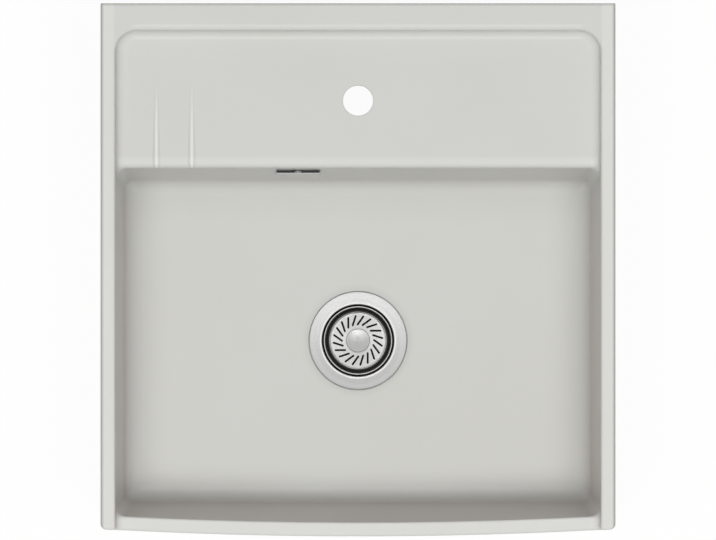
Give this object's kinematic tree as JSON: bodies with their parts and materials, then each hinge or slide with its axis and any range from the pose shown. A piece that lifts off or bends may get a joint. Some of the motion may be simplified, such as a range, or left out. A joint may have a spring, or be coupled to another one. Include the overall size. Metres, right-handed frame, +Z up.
{
  "type": "kitchen sink",
  "caption": "Ceramic kitchen sink with a raised rim, a recessed tap ledge with drainer ribs, a bowed front, an overflow with its hose, and a lift-out basket strainer waste.",
  "frame": {"origin": "on the axis of the waste, in the plane of the ceramic's underside that rests on the cabinet", "axes": "+Z up, +Y to the rear (the wall side), +X to the right seen from the front"},
  "size_m": [0.595, 0.6165, 0.2905],
  "materials": {
    "ceramic": "satin light grey glaze",
    "stainless": "fine brushed",
    "brass": "turned",
    "seal_rubber": "matt black",
    "housing_plastic": "moulded black",
    "hose_plastic": "moulded grey"
  },
  "bodies": {
    "sink": {"sink_body": "ceramic", "flange_seal": "seal_rubber", "waste_flange": "stainless", "lower_seal": "seal_rubber", "waste_housing": "housing_plastic", "housing_insert": "brass", "clamp_screw": "stainless", "grip_ring": "stainless", "overflow_cover": "stainless", "overflow_screw": "stainless", "overflow_gasket": "seal_rubber", "overflow_head": "housing_plastic", "overflow_insert": "brass", "upper_hose_seal": "seal_rubber", "upper_hose_nut": "housing_plastic", "lower_hose_seal": "seal_rubber", "lower_hose_nut": "housing_plastic", "overflow_hose": "hose_plastic"},
    "pin_and_plug": {"basket_pin": "stainless", "basket_plug": "seal_rubber"},
    "strainer": {"basket": "stainless", "basket_knob": "stainless"}
  },
  "joints": [
    {"name": "basket_lift", "type": "slide", "parent": "sink", "child": "pin_and_plug", "axis": [0, 0, 1], "range_m": [0, 0.26]},
    {"name": "basket_turn", "type": "hinge", "parent": "pin_and_plug", "child": "strainer", "pos_m": [0, 0, 0.012], "axis": [0, 0, 1], "continuous": true}
  ]
}
